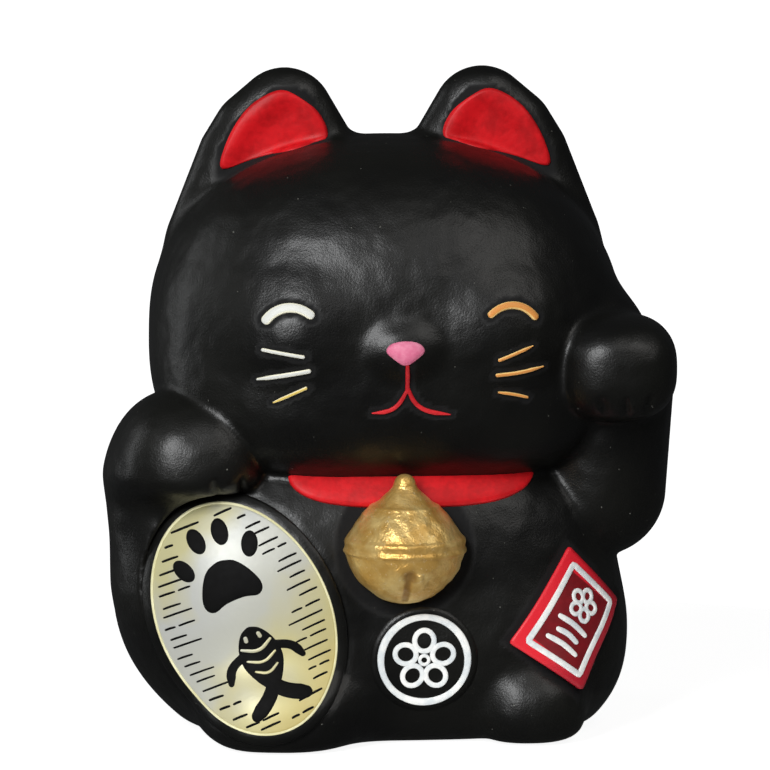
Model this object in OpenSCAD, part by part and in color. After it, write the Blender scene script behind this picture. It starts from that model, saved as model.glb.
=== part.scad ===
// A hollow-cast lucky cat that beckons with one paw and rests the other on a large oval coin.
// Left and right are the viewer's, looking at the face. The origin lies on the floor under the
// figure, on the plane that halves the head; +Z is up and the face looks along -Y.

/* [Head] */
// Half width of the head
head_x = 31.4; // [29:0.2:33]
// Half depth of the head
head_y = 25; // [23:0.5:27]
// Height of the head's widest level above the floor
head_z = 52; // [50:0.5:54]
// Rise of the skull above the widest level
head_up = 26.9; // [25:0.1:29]
// Drop of the chin below the widest level
head_down = 17.5; // [16.5:0.5:18.5]
// Squareness of the head: 2 is an ellipsoid, more is boxier
head_n = 2.6; // [2.2:0.05:3]

/* [Ears] */
// Distance of each ear tip's core from the middle plane
ear_tip_x = 13.2; // [12:0.2:15]
// Height of each ear tip's core
ear_tip_z = 81.2; // [79:0.2:83]
// Radius that rounds the ear around its core
ear_round = 6.6; // [6:0.1:7.2]
// Front-to-back squeeze of the ear
ear_squeeze = 0.62; // [0.5:0.02:0.8]

/* [Torso] */
// Half width of the torso
torso_x = 31; // [29:0.5:32]
// Half depth of the torso
torso_y = 25; // [23:0.5:26]
// Height of the torso's widest level
torso_z = 18; // [16:0.5:20]
// Rise of the shoulders above the widest level
torso_up = 25; // [24:0.5:26]
// Thickness of the cast wall
wall = 4; // [3.5:0.1:5]

/* [Arms] */
// Reach of the raised paw's middle to the right
paw_x = 29.4; // [28:0.2:31]
// Height of the raised paw's middle
paw_z = 49.6; // [48:0.2:52]
// Height of the elbow's middle
elbow_z = 32.2; // [31:0.2:34]
// Reach of the holding paw's middle to the left
hold_x = 27; // [26:0.2:28]
// Height of the holding paw's middle
hold_z = 37.3; // [36:0.2:38.5]

/* [Base and stopper] */
// Radius of the floor disc that closes the cast body
plate_r = 16; // [14:0.5:16.5]
// Thickness of the floor disc
plate_t = 4; // [3.5:0.25:5]
// Radius of the rubber plug
plug_r = 4.5; // [3.5:0.1:5]
// Length of the rubber plug above its flange
plug_len = 4; // [3:0.5:5]
// Radius of the plug's flange
flange_r = 6; // [5.5:0.1:6.3]

/* [Collar and bell] */
// Height of the collar's lowest edge, at the front
collar_low = 31.9; // [31:0.1:33]
// Height of the collar's lower edge at the sides and back
collar_side = 36; // [35.5:0.1:36.5]
// Thickness of the collar
collar_t = 1.2; // [0.8:0.1:1.6]
// Radius of the bell
bell_r = 7.8; // [7:0.1:8.2]
// Height of the bell's belt
bell_z = 28; // [27.5:0.1:29]

/* [Coin] */
// Half length of the coin
coin_long = 17.7; // [16:0.1:18.5]
// Half width of the coin
coin_short = 13; // [12:0.1:13.5]
// Lean of the coin's top to the left, in degrees
coin_lean = 24; // [18:1:30]
// Height of the coin's middle
coin_z = 17.6; // [17.4:0.1:19]
// Width of the coin's raised rim
coin_rim = 1.5; // [1:0.1:2]
// Thickness of the coin
coin_t = 1; // [0.7:0.1:1.4]

/* [Medallion and tag] */
// Outer radius of the medallion's ring
medal_r = 6.2; // [5.5:0.1:6.5]
// Width of the medallion's ring
medal_line = 0.7; // [0.5:0.1:1]
// Length of the tag
tag_long = 15; // [13:0.1:16]
// Width of the tag
tag_wide = 13.6; // [12:0.1:14.5]
// Lean of the tag to the right, in degrees
tag_lean = 32; // [25:1:38]

/* [Hidden] */

BLACK = "#1b1c19";
RED = "#d62028";
GOLD = "#c39a56";
PALE_GOLD = "#e0d9b0";
WHITE = "#e8e6de";
IVORY = "#ebebdc";
ORANGE = "#ebaf55";
PINK = "#d6778c";
MAROON = "#780a14";

gap = 0.03;          // film of slip or glue between two pieces that touch
far = 60;            // longer than any part of the figure
torso_n = 2.6;
torso_mid_y = 2;
line_t = 0.35;       // thickness of a painted enamel line
plate_room = 0.05;   // room around the floor disc
plate_y = 2;         // the floor disc is centred under the torso
plug_room = 0.05;    // running clearance around the plug
flange_t = 1;
sink_depth = 1.5;    // depth of the seat for the flange, so that it clears the floor
vent_y = 8;          // the vent is behind the middle of the base
throat_r = 8;
bell_x = 0.5;
bell_y = -22.5;
bell_back_y = -20.8; // flat back of the bell
belt_out = 0.35;     // how far the bell's belt stands out
neck_z = 7.9;        // height of the bell's neck above its middle
knob_r = 1.5;
bell_seat = 0.05;    // room around the bell in its seat on the chest

// ---- Rounded forms ----

// Point of |x/a|^n + |y/b|^n + |z/c|^n = 1 in one direction
function bulge_point(r, n, turn, rise) =
    let (d = [cos(rise) * cos(turn), cos(rise) * sin(turn), sin(rise)])
    d / pow(pow(abs(d.x) / r.x, n) + pow(abs(d.y) / r.y, n) + pow(abs(d.z) / r.z, n), 1 / n);

// Upper half of a rounded form, from rings of points around it
module half_bulge(r, n, sides) {
    rings = floor(sides / 4);
    points = concat(
        [for (i = [0:rings - 1]) for (j = [0:sides - 1])
            bulge_point(r, n, j * 360 / sides, i * 90 / rings)],
        [[0, 0, r.z]]
    );
    top = rings * sides;
    last = top - sides;
    faces = concat(
        [[for (j = [0:sides - 1]) j]],
        [for (i = [0:rings - 2]) for (j = [0:sides - 1])
            let (k = (j + 1) % sides)
            [i * sides + j, (i + 1) * sides + j, (i + 1) * sides + k, i * sides + k]],
        [for (j = [0:sides - 1]) [last + j, top, last + (j + 1) % sides]]
    );
    hull() polyhedron(points = points, faces = faces);
}

// Whole rounded form at a place, with its own drop below the middle, grown by grow
module bulge(at, r, drop, n, grow = 0, sides = 32) {
    translate(at) {
        half_bulge([r.x + grow, r.y + grow, r.z + grow], n, sides);
        mirror([0, 0, 1]) half_bulge([r.x + grow, r.y + grow, drop + grow], n, sides);
    }
}

// Straight limb with round ends
module limb(from, to, r_from, r_to, grow = 0, sides = 32) {
    hull() {
        translate(from) sphere(r = r_from + grow, $fn = sides);
        translate(to) sphere(r = r_to + grow, $fn = sides);
    }
}

module above_floor() {
    difference() {
        children();
        translate([-far, -far, -far]) cube([2 * far, 2 * far, far]);
    }
}

module torso_bulge(grow = 0) {
    bulge([0, torso_mid_y, torso_z], [torso_x, torso_y, torso_up], 25, torso_n, grow, 40);
}

module haunch_left(grow = 0) {
    bulge([-17.3, -3, 19.5], [19.3, 21, 19.5], 19.5, 2.15, grow);
}

module haunch_right(grow = 0) {
    bulge([14, -2, 12], [17.6, 20, 14], 14, 2.3, grow, 28);
}

module core_form(grow = 0) {
    torso_bulge(grow);
    haunch_left(grow);
    haunch_right(grow);
}

module head_form(grow = 0) {
    bulge([0, 0, head_z], [head_x, head_y, head_up], head_down, head_n, grow, 44);
}

// One corner of an ear's core, in the plane of the ears
module ear_corner(x, z, grow) {
    translate([x, 3, z])
        scale([1, ear_squeeze, 1])
            sphere(r = ear_round + grow, $fn = 28);
}

// side is -1 for the left ear and 1 for the right ear
module ear_form(side, grow = 0) {
    hull() {
        ear_corner(side * ear_tip_x, ear_tip_z, grow);
        ear_corner(side * 19, 75.6, grow);
        ear_corner(side * 6.9, 70.4, grow);
    }
    hull() {
        ear_corner(side * 19, 75.6, grow);
        ear_corner(side * 22.6, 66, grow);
        ear_corner(side * 6.9, 70.4, grow);
    }
}

module face_form(grow = 0) {
    head_form(grow);
    ear_form(-1, grow);
    ear_form(1, grow);
}

module raised_arm_form(grow = 0) {
    limb([29.2, -9, 43], [27.8, -6, elbow_z], 8.7, 9.2, grow);
    bulge([paw_x, -14, paw_z], [8.3, 9, 7.1], 7.1, 2.3, grow, 28);
    bulge([26.5, -7, 52], [8, 8, 7.5], 7.5, 2, grow, 24);
}

module holding_arm_form(grow = 0) {
    bulge([-hold_x, -11, hold_z], [10.6, 12, 9.5], 9.5, 2.3, grow);
    limb([-27.7, -5, 33], [-26.3, -5, 22], 9.6, 10.6, grow);
}

module foot_left_form(grow = 0) {
    bulge([-15.5, -20, 4], [9.5, 8.5, 6], 6, 2.3, grow, 24);
}

module foot_right_form(grow = 0) {
    bulge([18, -15, 4.5], [9, 7.2, 6.4], 6.4, 2.2, grow, 24);
}

module tail_form(grow = 0) {
    limb([8, 24, 7], [7, 27.5, 11], 5, 4.6, grow, 24);
    limb([7, 27.5, 11], [1.5, 28, 14.5], 4.6, 3.8, grow, 24);
}

// ---- Cast members ----

// Room under the body for the floor disc, and the cast hollow with its throat
module torso_hollow() {
    translate([0, plate_y, -1])
        cylinder(r = plate_r + plate_room, h = plate_t + 1 + gap, $fn = 96);
    above_floor()
        intersection() {
            bulge([0, torso_mid_y, torso_z], [torso_x - wall, torso_y - wall, torso_up - wall],
                torso_z + wall, torso_n, 0, 32);
            translate([-far, -far, plate_t + gap]) cube([2 * far, 2 * far, far]);
        }
    translate([0, 0, torso_z]) cylinder(r = throat_r, h = far, $fn = 48);
}

module torso() {
    color(BLACK)
        difference() {
            above_floor() core_form();
            torso_hollow();
            bell_form(bell_seat);
        }
}

module head() {
    floor_z = torso_z + torso_up + wall;
    color(BLACK)
        difference() {
            head_form();
            core_form(gap);
            bulge([0, 0, head_z], [head_x - wall, head_y - wall, head_up - wall],
                head_z - floor_z, head_n, 0, 32);
            translate([0, 0, torso_z]) cylinder(r = throat_r, h = floor_z - torso_z + 4, $fn = 48);
        }
}

module ear(side) {
    color(BLACK)
        difference() {
            ear_form(side);
            head_form(gap);
            core_form(gap);
        }
}

module ear_left() { ear(-1); }

module ear_right() { ear(1); }

module raised_arm() {
    color(BLACK)
        difference() {
            raised_arm_form();
            head_form(gap);
            core_form(gap);
        }
}

module holding_arm() {
    color(BLACK)
        difference() {
            holding_arm_form();
            head_form(gap);
            core_form(gap);
        }
}

module foot_left() {
    color(BLACK)
        difference() {
            above_floor() foot_left_form();
            core_form(gap);
        }
}

module foot_right() {
    color(BLACK)
        difference() {
            above_floor() foot_right_form();
            core_form(gap);
        }
}

module tail() {
    color(BLACK)
        difference() {
            above_floor() tail_form();
            core_form(gap);
        }
}

// ---- Base and stopper ----

module base_plate() {
    color(BLACK)
        difference() {
            translate([0, plate_y, 0]) cylinder(r = plate_r, h = plate_t, $fn = 96);
            translate([0, vent_y, -1]) cylinder(r = plug_r + plug_room, h = plate_t + 2, $fn = 64);
            translate([0, vent_y, -1])
                cylinder(r = flange_r + 0.3, h = sink_depth + 1, $fn = 64);
        }
}

module stopper() {
    color("#2b2b2b")
        translate([0, vent_y, sink_depth]) {
            translate([0, 0, -flange_t]) cylinder(r = flange_r, h = flange_t, $fn = 64);
            cylinder(r = plug_r, h = plug_len, $fn = 64);
        }
}

// ---- Collar and bell ----

// Band over the chest: level at the sides, drooping in a round arc at the front
module collar() {
    half_span = 16;
    droop = collar_side - collar_low;
    arc_r = (half_span * half_span + droop * droop) / (2 * droop);
    color(RED)
        difference() {
            core_form(collar_t);
            difference() {
                translate([-far, -far, -far]) cube([2 * far, 2 * far, far + collar_side]);
                translate([0, 0, collar_low + arc_r])
                    rotate([90, 0, 0])
                        cylinder(r = arc_r, h = far, $fn = 180);
            }
            core_form(gap);
            head_form(gap);
            raised_arm_form(gap);
            holding_arm_form(gap);
            bell_form(bell_seat);
            bell_knob_form(bell_seat);
        }
}

module collar_front() {
    intersection() {
        collar();
        translate([-far, -far - 5, 0]) cube([2 * far, far, 2 * far]);
    }
}

module collar_back() {
    intersection() {
        collar();
        translate([-far, 3, 0]) cube([2 * far, far, 2 * far]);
    }
}

// Outline of the bell from its bottom up to the neck: a bowl, a belt and a sloping shoulder
function bell_outline(grow) = concat(
    [for (a = [-90:10:-10]) (bell_r + grow) * [cos(a), sin(a)]],
    [
        [bell_r + belt_out + grow, -0.9], [bell_r + belt_out + grow, 0.9],
        [bell_r - 0.3 + grow, 1.5], [6.4 + grow, 3.2], [4.6 + grow, 5.4],
        [2.6 + grow, 6.9], [knob_r + 0.1 + grow, neck_z], [0, neck_z]
    ]
);

// The bell turned about its upright axis and cut flat behind
module bell_form(grow = 0) {
    difference() {
        translate([bell_x, bell_y, bell_z])
            rotate_extrude($fn = 72)
                polygon(bell_outline(grow));
        translate([-far, bell_back_y + grow, 0]) cube([2 * far, far, 2 * far]);
    }
}

module bell() {
    slot_w = 0.7;
    mouth_drop = 3.2;
    color(GOLD)
        difference() {
            bell_form();
            translate([bell_x, bell_y, bell_z])
                rotate_extrude($fn = 72)
                    translate([bell_r + belt_out, 0])
                        circle(r = 0.3, $fn = 16);
            translate([bell_x, bell_y - bell_r + 1.2, bell_z - mouth_drop])
                rotate([90, 0, 0])
                    cylinder(r = 0.9, h = 4, $fn = 32);
            translate([bell_x - slot_w / 2, bell_y - bell_r - 1, bell_z - bell_r])
                cube([slot_w, 3.6, bell_r - mouth_drop]);
        }
}

module bell_knob_form(grow = 0) {
    translate([bell_x, bell_y, bell_z + neck_z + gap]) {
        cylinder(r = knob_r + grow, h = knob_r, $fn = 32);
        translate([0, 0, knob_r]) sphere(r = knob_r + grow, $fn = 32);
    }
}

module bell_knob() {
    color(GOLD) bell_knob_form();
}

// ---- Flat outlines, drawn on an upright plane and laid on the figure ----

// Extrude a flat outline towards the viewer; turn swings the plane to the right
module shaft(turn = 0) {
    rotate([0, 0, turn])
        rotate([90, 0, 0])
            linear_extrude(height = far)
                children();
}

module oval(long, short) {
    scale([short, long]) circle(r = 1, $fn = 96);
}

// Stroke through a list of points, with round ends
module stroke(points, w) {
    for (i = [0:len(points) - 2])
        hull() {
            translate(points[i]) circle(d = w, $fn = 16);
            translate(points[i + 1]) circle(d = w, $fn = 16);
        }
}

// Five round petals around a small heart
module blossom(r) {
    for (i = [0:4])
        rotate(90 + i * 72)
            translate([r * 0.58, 0])
                circle(r = r * 0.4, $fn = 24);
    circle(r = r * 0.4, $fn = 24);
}

// ---- Coin ----

// Body under the coin: the haunch and the hidden foot run together here
module coin_bed(grow) {
    hull() {
        haunch_left(grow);
        foot_left_form(grow);
    }
}

module coin_shaft(long, short) {
    shaft(-25)
        translate([-10.4, coin_z])
            rotate(coin_lean)
                oval(long, short);
}

module coin_layer(low, high) {
    difference() {
        intersection() {
            above_floor() coin_bed(high);
            children();
        }
        coin_bed(low);
        core_form(gap);
        foot_left_form(gap);
        foot_right_form(gap);
        holding_arm_form(gap);
    }
}

module koban() {
    color(PALE_GOLD)
        difference() {
            intersection() {
                above_floor() coin_bed(coin_t);
                coin_shaft(coin_long, coin_short);
            }
            core_form(gap);
            foot_left_form(gap);
            holding_arm_form(gap);
        }
}

module koban_rim() {
    color(BLACK)
        coin_layer(coin_t + gap, coin_t + 0.5)
            difference() {
                coin_shaft(coin_long, coin_short);
                coin_shaft(coin_long - coin_rim, coin_short - coin_rim);
            }
}

// ---- Medallion and tag ----

// Lay children on the body between two heights above its surface
module on_body(low, high) {
    difference() {
        intersection() {
            core_form(high);
            children();
        }
        core_form(low);
        foot_right_form(gap);
    }
}

module medal_place() {
    translate([3.2, 11.9]) children();
}

module medallion_ring() {
    color(WHITE)
        on_body(gap, line_t)
            shaft()
                medal_place()
                    difference() {
                        circle(r = medal_r, $fn = 72);
                        circle(r = medal_r - medal_line, $fn = 72);
                    }
}

module medallion_blossom() {
    color(WHITE)
        on_body(gap, line_t)
            shaft()
                medal_place()
                    blossom(medal_r * 0.62);
}

module tag_place() {
    translate([6.2, 15.4])
        rotate(-tag_lean)
            children();
}

// Square with round corners
module soft_square(wide, long, corner) {
    offset(r = corner, $fn = 24)
        square([wide - 2 * corner, long - 2 * corner], center = true);
}

module tag() {
    color(MAROON)
        on_body(gap, 0.8)
            shaft(45)
                tag_place()
                    soft_square(tag_wide, tag_long, 1);
}

module tag_frame() {
    margin = 2;
    color(WHITE)
        on_body(0.8 + gap, 0.8 + line_t)
            shaft(45)
                tag_place()
                    difference() {
                        soft_square(tag_wide - margin, tag_long - margin, 0.6);
                        soft_square(tag_wide - margin - 1.4, tag_long - margin - 1.4, 0.4);
                    }
}

module tag_blossom() {
    color(WHITE)
        on_body(0.8 + gap, 0.8 + line_t)
            shaft(45)
                tag_place()
                    blossom(3.6);
}

// ---- Face ----

// Lay children on the head and ears between two heights above the surface
module on_face(low, high) {
    difference() {
        intersection() {
            face_form(high);
            children();
        }
        face_form(low);
    }
}

// Red inside of an ear, a rounded triangle above the brow
module lining(side) {
    color(RED)
        difference() {
            intersection() {
                ear_form(side, line_t);
                shaft()
                    offset(r = 1.5, $fn = 24)
                        polygon([
                            [side * 20.2, 74.6], [side * 17.4, 79],
                            [side * 13.9, 83.3], [side * 9.2, 77]
                        ]);
            }
            face_form(gap);
        }
}

module lining_left() { lining(-1); }

module lining_right() { lining(1); }

// Closed smiling eye: an arch on a circle
module eye(side, tint) {
    arch_r = 3.8;
    spread = 57;
    steps = 12;
    middle = [side * 14.5, 55.6];
    points = [for (i = [0:steps])
        let (a = 90 - spread + 2 * spread * i / steps)
        middle + arch_r * [cos(a), sin(a)]];
    color(tint)
        on_face(gap, line_t)
            shaft()
                stroke(points, 1.1);
}

module eye_left() { eye(-1, IVORY); }

module eye_right() { eye(1, ORANGE); }

module nose() {
    color(PINK)
        on_face(gap, 1)
            shaft()
                translate([0.4, 53.2])
                    offset(r = 0.7, $fn = 24)
                        polygon([[-1.9, 0.7], [1.9, 0.7], [0, -0.8]]);
}

// Stem under the nose that parts into two drooping branches
module mouth() {
    color(RED)
        on_face(gap, line_t)
            shaft() {
                stroke([[0.7, 51.2], [0.7, 48.8]], 0.6);
                stroke([[0.7, 48.8], [-0.7, 47.2], [-2.3, 45.8], [-4, 45]], 0.6);
                stroke([[0.7, 48.8], [2.3, 47.2], [4.3, 45.8], [6.5, 45]], 0.6);
            }
}

// One whisker: where it starts, how it rises outwards and how long it is
module whisker(side, start, rise, length, tint) {
    tip = start + length * [side * cos(rise), sin(rise)];
    color(tint)
        on_face(gap, line_t)
            shaft()
                stroke([start, tip], 0.7);
}

module whisker_left_top() { whisker(-1, [-12.9, 52.7], 8, 5.2, IVORY); }

module whisker_left_middle() { whisker(-1, [-12.2, 50.9], -13, 6.9, IVORY); }

module whisker_left_low() { whisker(-1, [-12.5, 48.3], -27, 4.6, IVORY); }

module whisker_right_top() { whisker(1, [12.9, 51.8], 22, 4.8, ORANGE); }

module whisker_right_middle() { whisker(1, [12.7, 50], 5, 6, ORANGE); }

module whisker_right_low() { whisker(1, [12.9, 47.5], -13, 3.9, ORANGE); }

torso();
head();
ear_left();
ear_right();
raised_arm();
holding_arm();
foot_left();
foot_right();
tail();
base_plate();
stopper();
collar_front();
collar_back();
bell();
bell_knob();
koban();
koban_rim();
medallion_ring();
medallion_blossom();
tag();
tag_frame();
tag_blossom();
lining_left();
lining_right();
eye_left();
eye_right();
nose();
mouth();
whisker_left_top();
whisker_left_middle();
whisker_left_low();
whisker_right_top();
whisker_right_middle();
whisker_right_low();
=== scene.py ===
# %% [markdown]
# # A lucky cat in black glaze
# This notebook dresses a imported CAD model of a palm-sized beckoning cat. The figure is cast in
# clay, glazed satin black and finished with raised enamel, gilding and leaf. The CAD model gives
# every size and place, so the first cell loads it, and each later cell asks it where things are.

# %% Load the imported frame
import math
import bpy
import numpy as np
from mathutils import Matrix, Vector


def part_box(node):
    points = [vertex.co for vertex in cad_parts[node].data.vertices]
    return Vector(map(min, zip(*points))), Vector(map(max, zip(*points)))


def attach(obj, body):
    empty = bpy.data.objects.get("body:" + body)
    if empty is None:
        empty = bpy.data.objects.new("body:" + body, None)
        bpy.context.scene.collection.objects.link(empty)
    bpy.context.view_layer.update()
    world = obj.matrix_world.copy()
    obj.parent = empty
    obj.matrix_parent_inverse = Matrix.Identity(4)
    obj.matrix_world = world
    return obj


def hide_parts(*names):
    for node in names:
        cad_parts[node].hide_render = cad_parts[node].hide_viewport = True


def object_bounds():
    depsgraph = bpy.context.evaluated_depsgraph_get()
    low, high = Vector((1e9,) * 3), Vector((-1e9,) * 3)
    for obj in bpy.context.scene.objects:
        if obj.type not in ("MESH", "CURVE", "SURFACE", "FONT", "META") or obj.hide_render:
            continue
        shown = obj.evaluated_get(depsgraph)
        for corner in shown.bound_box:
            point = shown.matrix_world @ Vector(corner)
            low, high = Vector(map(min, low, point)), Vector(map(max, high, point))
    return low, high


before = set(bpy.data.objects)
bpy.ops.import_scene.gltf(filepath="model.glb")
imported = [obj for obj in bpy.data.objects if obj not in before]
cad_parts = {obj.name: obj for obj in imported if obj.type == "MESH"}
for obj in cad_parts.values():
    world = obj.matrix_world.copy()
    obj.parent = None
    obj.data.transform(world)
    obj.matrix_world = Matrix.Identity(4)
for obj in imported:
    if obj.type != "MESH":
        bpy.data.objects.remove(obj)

for leftover in ("Cube", "Light", "Camera"):
    if leftover in bpy.data.objects:
        bpy.data.objects.remove(bpy.data.objects[leftover])

MM = 0.001
BODY = "figure"
cad_box = [[float(v) for v in corner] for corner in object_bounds()]
height = cad_box[1][2] / MM
print("CAD model is", [round((b - a) / MM, 1) for a, b in zip(*cad_box)], "mm")

# %% [markdown]
# ## Camera
# The figure is seen almost level and from a long way off, so its upright sides stay upright. A long
# lens far away gives that look. The view comes from a little to the left of straight ahead and
# from slightly above, and it is aimed at the middle of the figure.

# %% Camera
def look_from(azimuth, elevation, distance):
    """Unit steps from the target: back along the azimuth, up by the elevation."""
    a, e = math.radians(azimuth), math.radians(elevation)
    return Vector((math.sin(a) * math.cos(e), -math.cos(a) * math.cos(e), math.sin(e))) * distance


frame_width = 102.7 * MM
distance = 1.6
target = Vector((0, 0, 0.517 * height * MM))
camera = bpy.data.objects.new("view", bpy.data.cameras.new("view"))
camera.location = target + look_from(-5, 8, distance)
camera.rotation_euler = (target - camera.location).to_track_quat("-Z", "Y").to_euler()
camera.data.lens = camera.data.sensor_width * distance / frame_width
camera.data.clip_end = 20
bpy.context.collection.objects.link(camera)
bpy.context.scene.camera = camera
print("lens", round(camera.data.lens), "mm")

# %% [markdown]
# ## Reading places from the CAD model
# Every cast member has a box in the CAD model. A place inside a box is given as three fractions,
# and so is a reach, so the surfaces below follow the CAD model if its sizes change. From here on
# lengths are in millimetres, and only the finished mesh is turned into metres.

# %% Places and reaches
boxes = {node: [np.array(corner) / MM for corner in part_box(node)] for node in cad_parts}


def corners(node):
    """Lowest and highest corner of a CAD node, in millimetres."""
    return boxes[node]


def spot(node, *fractions):
    """Low corner plus fractions of the box."""
    low, high = corners(node)
    return low + np.array(fractions) * (high - low)


def reach(node, *fractions):
    """Fractions of the box's width, depth and height."""
    low, high = corners(node)
    return np.array(fractions) * (high - low)


print("head box", [v.round(1).tolist() for v in corners("head")])

# %% [markdown]
# ## The cast body as one distance field
# The real body leaves the mould in one piece: paws, haunches and ears run into each other with
# soft creases. Separate patches would show their seams, so this piece is made another way. Each
# member is a formula that says how far a point lies outside it. Welding two formulas with a small
# smooth step gives the soft crease, and the skin is where the welded value is zero.

# %% Formulas for round members
def bulge(p, middle, radii, drop=None, power=2.3):
    """Rounded box: the power mean of the three scaled distances, less one, times the distance."""
    q = p - middle
    drop = radii[2] if drop is None else drop
    up_or_down = np.where(q[..., 2] > 0, radii[2], drop)
    total = np.abs(q[..., 0] / radii[0]) ** power
    total += np.abs(q[..., 1] / radii[1]) ** power
    total += np.abs(q[..., 2] / up_or_down) ** power
    scaled = np.maximum(total ** (1 / power), 1e-3)
    return np.sqrt((q * q).sum(-1)) * (1 - 1 / scaled)


def limb(p, start, end, r_start, r_end):
    """Distance to a straight line, less a radius that changes evenly from end to end."""
    along = end - start
    t = np.clip(((p - start) @ along) / (along @ along), 0, 1)
    return np.linalg.norm(p - start - t[..., None] * along, axis=-1) - r_start - (r_end - r_start) * t


def ramp_down(distance, full, none):
    """One up to the first distance, falling smoothly to zero at the second."""
    t = np.clip((none - distance) / (none - full), 0, 1)
    return t * t * (3 - 2 * t)


def weld(a, b, k):
    """The smaller of two distances, with the step between them smoothed over k."""
    h = np.clip(0.5 + 0.5 * (b - a) / k, 0, 1)
    return b * (1 - h) + a * h - k * h * (1 - h)


def carve(a, b, k):
    """What is inside a and outside b, with the edge smoothed over k."""
    return -weld(-a, b, k)


# %% Formula for an ear
def edge_distance(q, a, b):
    """Distance in a plane from points to the stretch between two corners."""
    along = b - a
    t = np.clip(((q - a) @ along) / (along @ along), 0, 1)
    return np.linalg.norm(q - a - t[..., None] * along, axis=-1)


def side_of(q, a, b):
    """Twice the signed area of the triangle a, b, q: positive on the left of the line."""
    return (b[0] - a[0]) * (q[..., 1] - a[1]) - (b[1] - a[1]) * (q[..., 0] - a[0])


def flake(p, corner_list, middle_y, rounding, squeeze):
    """Flat upright triangle, thickened to a rounding and squeezed from front to back."""
    q = p[..., [0, 2]]
    a, b, c = corner_list
    turns = np.stack([side_of(q, a, b), side_of(q, b, c), side_of(q, c, a)])
    inside = (turns >= 0).all(0) | (turns <= 0).all(0)
    edges = np.minimum(np.minimum(edge_distance(q, a, b), edge_distance(q, b, c)),
                       edge_distance(q, c, a))
    flat = np.where(inside, 0, edges)
    return (np.hypot(flat, (p[..., 1] - middle_y) / squeeze) - rounding) * squeeze


EAR_CORNERS = ((0.361, 0.704), (0.489, 0.582), (0.565, 0.442), (0.729, -0.032), (0.109, 0.217))
EAR_ROUNDING = 6.6
EAR_SQUEEZE = 0.62


def ear(p, side, rounding=EAR_ROUNDING, forward=0.0):
    """Three flakes that share the inner corner make the ear's five-cornered core."""
    node = "ear_right" if side > 0 else "ear_left"
    places = [spot(node, fx if side > 0 else 1 - fx, 0.5, fz) for fx, fz in EAR_CORNERS]
    y = places[0][1] - forward
    *rim, inner = [place[[0, 2]] for place in places]
    flakes = [flake(p, (a, b, inner), y, rounding, EAR_SQUEEZE) for a, b in zip(rim, rim[1:])]
    return np.min(flakes, axis=0)


# %% [markdown]
# The members are welded from the belly outwards. The haunches run softly into the belly, the head
# sits on the shoulders with a tight crease, and each paw meets the cheek or the coin in a crease
# that catches a thin line of light.

# %% Torso, haunches and feet
def haunches(p):
    """Belly and both haunches."""
    belly = bulge(p, spot("torso", 0.537, 0.51, 0.421), reach("torso", 0.455, 0.49, 0.584), None, 2.6)
    left = bulge(p, spot("torso", 0.283, 0.412, 0.456), reach("torso", 0.283, 0.412, 0.456), None, 2.15)
    right = bulge(p, spot("torso", 0.742, 0.431, 0.28), reach("torso", 0.258, 0.392, 0.327))
    return weld(weld(belly, left, 4.0), right, 4.0)


def right_foot(p):
    """Foot that shows as a low bump beside the medallion."""
    return bulge(p, spot("foot_right", 0.42, 0.49, 0.56), reach("foot_right", 0.48, 0.68, 0.77), None, 2.2)


def left_foot(p):
    """Foot that lies hidden behind the coin."""
    return bulge(p, spot("foot_left", 0.501, 0.563, 0.402), reach("foot_left", 0.501, 0.563, 0.603))


def trunk(p):
    """Haunches with the right foot in a tight crease."""
    return weld(haunches(p), right_foot(p), 1.6)


def tag_bed(p):
    """Haunches and right foot run together, so that the tag lies flat."""
    return weld(haunches(p), right_foot(p), 6.0)


def coin_bed(p):
    """Trunk and left foot run together, so that the coin lies flat."""
    return weld(trunk(p), left_foot(p), 8.0)


# %% Head, face and ears
def skull(p):
    """Squarish head with full cheeks and a small mound for the nose."""
    middle = spot("head", 0.5, 0.5, 0.353)
    radii = reach("head", 0.5, 0.5, 0.647)
    rise = (p[..., 2] - middle[2]) / 12
    rounder = 2.6 - 0.3 * np.clip(rise, 0, 1) - 0.38 * np.clip(rise, -1, 0)
    head = bulge(p, middle, radii, reach("head", 0, 0, 0.470)[2], rounder)
    mirrored = p.copy()
    mirrored[..., 0] = -np.abs(mirrored[..., 0] - middle[0]) + middle[0]
    cheek = bulge(mirrored, spot("head", 0.30, 0.235, 0.43), np.array([10.5, 12.2, 9.5]), None, 2)
    nose = bulge(p, spot("head", 0.506, 0.012, 0.385), np.array([4.6, 2.3, 3.2]), None, 2)
    return weld(weld(head, cheek, 3.5), nose, 2.2)


def dished_ear(p, side):
    """An ear with a shallow dish pressed into its front."""
    dish = ear(p, side, 4.3, 5.6)
    return carve(ear(p, side), dish, 0.7)


def crown(p):
    """Head with both ears."""
    return weld(weld(skull(p), dished_ear(p, -1), 1.3), dished_ear(p, 1), 1.3)


# %% [markdown]
# The coin lies in front of the paw that holds it, so its place is settled before the arm. The
# space over its oval is kept free, or the paw would swell through the coin and hide its rim. The
# paw could be drawn with a notch, but cutting the space away fits the coin exactly.

# %% Where the coin lies
COIN_TURN, COIN_LEAN = -5, 24.4
leaf_long, leaf_short = 15.2, 11.3
coin_middle = np.array([-18.45, corners("koban")[0][2] + 17.2])


def leaned(points, lean, middle):
    """Turn flat points by a lean and move them to a middle."""
    a = math.radians(lean)
    points = np.asarray(points, float)
    turned = np.stack([points[..., 0] * math.cos(a) - points[..., 1] * math.sin(a),
                       points[..., 0] * math.sin(a) + points[..., 1] * math.cos(a)], -1)
    return turned + middle


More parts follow.
